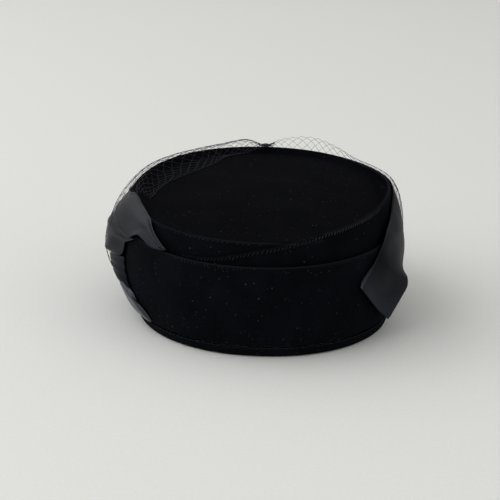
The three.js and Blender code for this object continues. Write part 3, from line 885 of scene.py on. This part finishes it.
class HAT_OT_velvet_body(bpy.types.Operator):
    """Makes the hem, the cuff, the wrap and the tip in velvet"""

    bl_idname = "hat.velvet_body"
    bl_label = "Velvet body"

    def execute(self, context):
        settings = context.scene.hat_velvet
        wander = settings.unevenness / MM
        velvet = velvet_material(settings, "silk_velvet", 0)
        self.hem(velvet, wander)
        self.cuff(velvet, wander)
        self.wrap(velvet, wander, settings.edge_bead / MM)
        # The tip gets a darker copy of the velvet: painted shade that offsets the extra light on its
        # up-facing top.
        self.tip(velvet_material(settings, "silk_velvet_painted_shade", 0.42))
        return {"FINISHED"}

    @staticmethod
    def hem(velvet, wander):
        """A turned and bound edge."""
        columns = []
        for i in range(257):
            angle = 360 * i / 256 - 180
            loose = unevenness(angle, 0, 0.25 * wander, 5)
            outline = wall_outline(0, HEM_HEIGHT, HEM_WALL, 6)
            columns.append([skin(angle, height, 0.4 + out + loose) for height, out in outline])
        finish_piece(cloth("hem_velvet", columns), velvet, ["hem_binding"])

    @staticmethod
    def cuff(velvet, wander):
        """One flared wall with a folded top edge."""
        columns = []
        for i in range(257):
            angle = 360 * i / 256 - 180
            top = edge_height(CUFF_HEIGHT, angle)
            column = []
            for height, out in wall_outline(CUFF_FOOT, top, CUFF_WALL, 26):
                loose = unevenness(angle, height, wander, 3)
                slack = eased(height, CUFF_FOOT, CUFF_FOOT + 12) * (1 - eased(height, top - 6, top))
                column.append(skin(angle, height, out + loose * slack - 0.2 * slack))
            columns.append(column)
        piece = cloth("cuff_velvet", columns)
        # Painted highlight along the cuff's folded top edge.
        paint_edge_highlights(piece, lambda angle: edge_height(CUFF_HEIGHT, angle) - 0.3)
        finish_piece(piece, velvet, ["side_cuff"])

    @staticmethod
    def wrap(velvet, wander, bead):
        """A draped strip with a rolled upper edge, which laps over itself at the back."""
        columns = []
        steps = 330
        for i in range(steps + 1):
            angle = lerp(WRAP_RUN[0][0], WRAP_RUN[-1][0], i / steps)
            low = edge_height(CUFF_HEIGHT, angle) - WRAP_TUCK
            high = wrap_edge(angle)
            column = []
            for height, out in wall_outline(low, high, WRAP_WALL, 22):
                roll = bead * math.exp(-(((high - height - 1.2) / 1.1) ** 2)) * (out > -FOLD_RADIUS)
                middle = eased(height, low, low + 8) * (1 - eased(height, high - 4, high))
                sag = -0.3 * middle + 0.4 * middle * unevenness(angle, height, wander, 3)
                column.append(wrap_point(angle, height, out + roll - 0.3 * (roll > 0) + sag))
            columns.append(column)
        piece = cloth("wrap_velvet", columns, filled=True)
        # Painted highlight along the wrap's upper edges.
        paint_edge_highlights(piece, lip_top, inner_edge)
        finish_piece(piece, velvet, ["crown_wrap"])

    @staticmethod
    def tip(velvet):
        """A shallow domed oval whose edge turns up where it is sewn to the standing wrap."""
        rings = 30
        arc = [math.pi * k / 6 for k in range(7)]
        # From the middle out underneath, round the edge and back over the top, as (share of the
        # way out, height over the upper face).
        outline = [(k / rings, -TIP_WALL) for k in range(rings)]
        outline += [(1 + 0.008 * math.sin(t), -TIP_WALL / 2 * (1 + math.cos(t))) for t in arc]
        outline += [(1 - (k / rings) ** 1.3, 0) for k in range(1, rings + 1)]
        middle = TIP_EDGE[2:]
        columns = []
        for i in range(193):
            angle = 360 * i / 192
            curl = clamp(lip_top(angle) - edge_height(TIP_HEIGHT, angle) - 0.6, 0, 2.4)
            column = []
            for share, rise in outline:
                half = (TIP_EDGE[:2] - TIP_INSET) * share
                x, y = oval_point((*half, *middle), angle, 0) if share else middle
                puff = noise.noise(Vector((x / 28, y / 28, 3))) * 0.7 * (1 - share)
                puff += curl * eased(share, 0.955, 1)
                column.append(Vector((x, y, tip_height(x, y) + rise + puff)) * MM)
            columns.append(column)
        finish_piece(cloth("tip_velvet", columns), velvet, ["crown_tip"])


class HAT_OT_stitches(bpy.types.Operator):
    """Sews the stitches along the wrap's edges, the cuff's fold and the hem"""

    bl_idname = "hat.stitches"
    bl_label = "Stitches"

    def execute(self, context):
        settings = context.scene.hat_thread
        random.seed(3)
        radius = settings.thickness / 2
        step = math.degrees(settings.spacing / (WRAP_RADIUS * MM))

        # Close slanting stitches over the wrap's crossing edge, in a paler thread along one stretch as
        # a painted highlight.
        pale, dark = [], []
        angle = CROSSING_RUN[0]
        while angle < CROSSING_RUN[1]:
            lean = step * 0.2
            edge = wrap_edge(angle)
            size = 2.1 + random.uniform(-0.25, 0.25)
            start = wrap_point(angle - lean, edge - 0.5 - size, 0.25)
            end = wrap_point(angle + lean, edge - 0.5, 0.3)
            seats = pale if LIT_STITCH_RUN[0] < angle < LIT_STITCH_RUN[1] else dark
            seats.append((start, end, self.outward(angle)))
            angle += step * random.uniform(0.9, 1.1)
        thread = thread_material("sewing_thread", [*settings.thread_colour, 1])
        finish_piece(sewn("lit_wrap_stitches", pale, radius), thread)

        # Sparse stitches along the inner edge, ticks on the cuff's fold, and the hem's run.
        for angle in np.arange(-146, -86, 2.1):
            if random.random() < 0.3:
                continue
            edge = wrap_edge(angle)
            start = wrap_point(angle, edge - 1.5, 0.25)
            end = wrap_point(angle + 0.9, edge - 0.7, 0.2)
            dark.append((start, end, self.outward(angle)))
        for angle in np.arange(-123, -95, step):
            if random.random() < 0.3:
                continue
            edge = edge_height(CUFF_HEIGHT, angle) + random.uniform(-0.4, 0.2)
            start, end = skin(angle, edge - 2.3, 0.02), skin(angle, edge - 0.6, -0.1)
            dark.append((start, end, self.outward(angle)))
        for angle in np.arange(-180, 180, 2.2):
            start, end = skin(angle, 7.0, 0.22), skin(angle + 1.45, 7.0, 0.22)
            dark.append((start, end, self.outward(angle)))
        dark_thread = thread_material("dark_sewing_thread", [*settings.dark_colour, 1])
        finish_piece(sewn("edge_stitches", dark, radius), dark_thread)
        return {"FINISHED"}

    @staticmethod
    def outward(angle):
        """The level direction away from the hat's middle."""
        turn = math.radians(angle)
        return Vector((math.cos(turn), math.sin(turn), 0))


class HAT_OT_satin_ribbon(bpy.types.Operator):
    """Lays the wide ribbon round the front and its folded end on the right"""

    bl_idname = "hat.satin_ribbon"
    bl_label = "Satin ribbon"

    def execute(self, context):
        settings = context.scene.hat_satin
        # The band's copy of the satin gets a low gloss: painted shade for its side away from the main
        # light.
        satin = satin_material(settings, "satin_ribbon_band", 0.2, BAND_PAINTED_LIGHT)

        def crease(share, down):
            # Slow waves that begin past the ribbon's tucked end.
            return 0.25 * math.sin(9 * share + 5 * down) * eased(share, 0.02, 0.1)

        band = cloth("ribbon_satin", ribbon_columns(BAND_SECTIONS, 260, 36, crease))
        apply_modifier(band, "SOLIDIFY", thickness=settings.thickness, offset=0)
        finish_piece(band, satin, ["ribbon_band"])
        return {"FINISHED"}


class HAT_OT_satin_bow(bpy.types.Operator):
    """Folds the bow on the left: its tuck, loop, knot and tail"""

    bl_idname = "hat.satin_bow"
    bl_label = "Satin bow"

    def execute(self, context):
        settings = context.scene.hat_satin
        for name, sections, (steps, across), flat, gloss, painted_light, creases in BOW_PIECES:
            depth, folds, drift = creases

            def crease(share, down):
                # Its two edges are held flat.
                free = math.sin(math.pi * down) ** 0.5
                return depth * free * math.sin(2 * math.pi * (folds * down + drift * share))

            piece = cloth(f"{name}_satin", ribbon_columns(sections, steps, across, crease))
            apply_modifier(piece, "SOLIDIFY", thickness=settings.thickness, offset=0)
            # Each piece gets its own copy of the satin, made brighter or duller by its gloss and
            # painted light.
            satin = satin_material(settings, f"satin_ribbon_{name}", gloss, painted_light)
            finish_piece(piece, satin, [f"left_{name}"])
        return {"FINISHED"}


class HAT_OT_veil(bpy.types.Operator):
    """Knots the diamond net, lays it round the front and sews its tuft down"""

    bl_idname = "hat.veil"
    bl_label = "Net veil"

    def execute(self, context):
        settings = context.scene.hat_veil
        net = net_material(settings)
        piece = self.net_sheet(settings)
        apply_modifier(
            piece, "WIREFRAME", thickness=settings.thickness, use_even_offset=False,
            use_relative_offset=False, use_boundary=True, use_replace=True,
        )
        piece.data.shade_smooth()
        finish_piece(piece, net, ["veil"])
        finish_piece(self.tuft(), net, ["veil_gather"])
        return {"FINISHED"}

    @staticmethod
    def profiles():
        """The net's guide points as (angle, height, stand-off), by section and then by level."""
        table = []
        for angle, foot, middle, shoulder, crest, reach in VEIL_SECTIONS:
            lip = lip_top(angle)
            inside = max(lip + 1.4, edge_height(TIP_HEIGHT, angle) + TIP_DOME + 0.6)
            levels = [
                foot, middle, shoulder, (lip + 0.6 * crest, 2.9), (lip + crest, -3),
                (inside, -4 - reach),
            ]
            table.append([np.array((angle, *level), float) for level in levels])
        return table

    def net_sheet(self, settings):
        """The net as a sheet of diamonds, whose edges are the strands."""
        random.seed(settings.seed)
        table = self.profiles()
        half = settings.cell / MM / 2
        across = 2 * round(NET_LENGTH / half / 2)
        down = 2 * round(NET_DEPTH / half / 2)

        def place(i, j):
            share = clamp((i + random.uniform(-NET_WANDER, NET_WANDER)) / across)
            level = clamp((j + random.uniform(-NET_WANDER, NET_WANDER)) / down)
            # On the left the net is folded over at its free edge, where its rows close up.
            level = 1 - (1 - level) ** lerp(1.45, 1, eased(share, 0.35, 0.55))
            section = [spline([row[k] for row in table], share) for k in range(6)]
            angle, height, off = spline(section, level)
            point = skin(angle, height, off) / MM
            settled = eased(-off, 5, 10)
            point.z = lerp(point.z, tip_height(point.x, point.y) + 0.7, settled)
            return point * MM

        points, index = [], {}

        def corner(i, j):
            if (i, j) not in index:
                index[i, j] = len(points)
                points.append(place(i, j))
            return index[i, j]

        faces = []
        for i in range(1, across):
            for j in range(1, down):
                # Right of the tuft the net stops short of its crest and doesn't reach the tip.
                if (i + j) % 2 and (i < across / 2 or j < NET_STOP * down):
                    around = [(i, j - 1), (i + 1, j), (i, j + 1), (i - 1, j)]
                    faces.append([corner(*spot) for spot in around])
        mesh = bpy.data.meshes.new("veil_net")
        mesh.from_pydata(points, [], faces)
        piece = bpy.data.objects.new("veil_net", mesh)
        bpy.context.collection.objects.link(piece)
        return piece

    @staticmethod
    def tuft():
        """A short roll of gathered net, pinched by its stitches."""
        angle = 90
        middle = skin(angle, lip_top(angle) + 1.4, -2) / MM
        columns = []
        for i in range(49):
            turn = 2 * math.pi * i / 48
            column = []
            for j in range(21):
                along = 2 * j / 20 - 1
                bulge = (1 - along**2) ** 0.5 * (0.75 + 0.35 * math.cos(3 * math.pi * along) ** 2)
                size = 1.3 * bulge * (1 + 0.14 * math.cos(8 * turn))
                spot = (3.6 * along, size * math.cos(turn), size * math.sin(turn))
                column.append((middle + Vector(spot)) * MM)
            columns.append(column)
        return cloth("veil_tuft", columns)


class HAT_OT_stage(bpy.types.Operator):
    """Sets out the floor, the soft lights and the camera"""

    bl_idname = "hat.stage"
    bl_label = "Stage"

    def execute(self, context):
        settings = context.scene.hat_stage
        bpy.ops.object.select_all(action="DESELECT")
        bpy.ops.mesh.primitive_plane_add(size=9, location=(0, 2, 0))
        floor = context.object
        floor.name = "floor"
        bpy.ops.object.transform_apply(location=True)
        floor.data.materials.append(floor_material(settings))

        self.light("key_light", (-1.6, -0.5, 1.4), 2.4, settings.key_power)
        self.light("fill_light", (1.5, -0.9, 0.9), 1.2, settings.fill_power)
        self.light("back_light", (-1.5, 1.3, 1.5), 1.8, settings.back_power)
        world = bpy.data.worlds.new("studio")
        world.use_nodes = True
        background = world.node_tree.nodes["Background"]
        background.inputs[0].default_value = linear("#EDEDEB")
        background.inputs[1].default_value = settings.room_light
        context.scene.world = world
        context.scene.view_settings.view_transform = "Standard"

        camera = bpy.data.objects.new("camera", bpy.data.cameras.new("camera"))
        context.collection.objects.link(camera)
        camera.data.lens = CAMERA_LENS
        camera.data.sensor_width = CAMERA_SENSOR
        look = (CAMERA_AIM - CAMERA_PLACE).to_track_quat("-Z", "Y").to_matrix().to_4x4()
        roll = Matrix.Rotation(math.radians(CAMERA_ROLL), 4, "Z")
        camera.matrix_world = Matrix.Translation(CAMERA_PLACE) @ look @ roll
        context.scene.camera = camera
        return {"FINISHED"}

    @staticmethod
    def light(name, place, size, power):
        """A square soft light that faces the hat."""
        lamp = bpy.data.lights.new(name, "AREA")
        lamp.size, lamp.energy = size, power
        holder = bpy.data.objects.new(name, lamp)
        bpy.context.collection.objects.link(holder)
        holder.location = place
        facing = (LIGHTS_AIM - Vector(place)).to_track_quat("-Z", "Y")
        holder.rotation_euler = facing.to_euler()


class HAT_PT_sidebar(bpy.types.Panel):
    """Lists the hat's settings and pieces"""

    bl_idname = "HAT_PT_sidebar"
    bl_label = "Velvet pillbox hat"
    bl_space_type = "VIEW_3D"
    bl_region_type = "UI"
    bl_category = "Hat"

    def draw(self, context):
        for title, group, operators in STEPS:
            box = self.layout.box()
            box.label(text=title)
            settings = getattr(context.scene, group)
            for name in settings.__annotations__:
                box.prop(settings, name)
            for operator in operators:
                box.operator(operator)


# Each group of settings in the sidebar, and the operators that use it, in the order of making.
STEPS = [
    ("Velvet", "hat_velvet", ["hat.velvet_body"]),
    ("Satin", "hat_satin", ["hat.satin_ribbon", "hat.satin_bow"]),
    ("Thread", "hat_thread", ["hat.stitches"]),
    ("Veil", "hat_veil", ["hat.veil"]),
    ("Stage", "hat_stage", ["hat.stage"]),
]
SETTINGS = {
    "hat_velvet": HatVelvetSettings,
    "hat_satin": HatSatinSettings,
    "hat_thread": HatThreadSettings,
    "hat_veil": HatVeilSettings,
    "hat_stage": HatStageSettings,
}
CLASSES = [
    *SETTINGS.values(),
    HAT_OT_velvet_body,
    HAT_OT_satin_ribbon,
    HAT_OT_satin_bow,
    HAT_OT_stitches,
    HAT_OT_veil,
    HAT_OT_stage,
    HAT_PT_sidebar,
]


def register():
    for each in CLASSES:
        bpy.utils.register_class(each)
    for name, group in SETTINGS.items():
        setattr(bpy.types.Scene, name, PointerProperty(type=group))


def unregister():
    for name in SETTINGS:
        delattr(bpy.types.Scene, name)
    for each in reversed(CLASSES):
        bpy.utils.unregister_class(each)


def main():
    register()
    bpy.ops.hat.velvet_body()
    bpy.ops.hat.satin_ribbon()
    bpy.ops.hat.satin_bow()
    bpy.ops.hat.stitches()
    bpy.ops.hat.veil()
    bpy.ops.hat.stage()


if __name__ == "__main__":
    main()
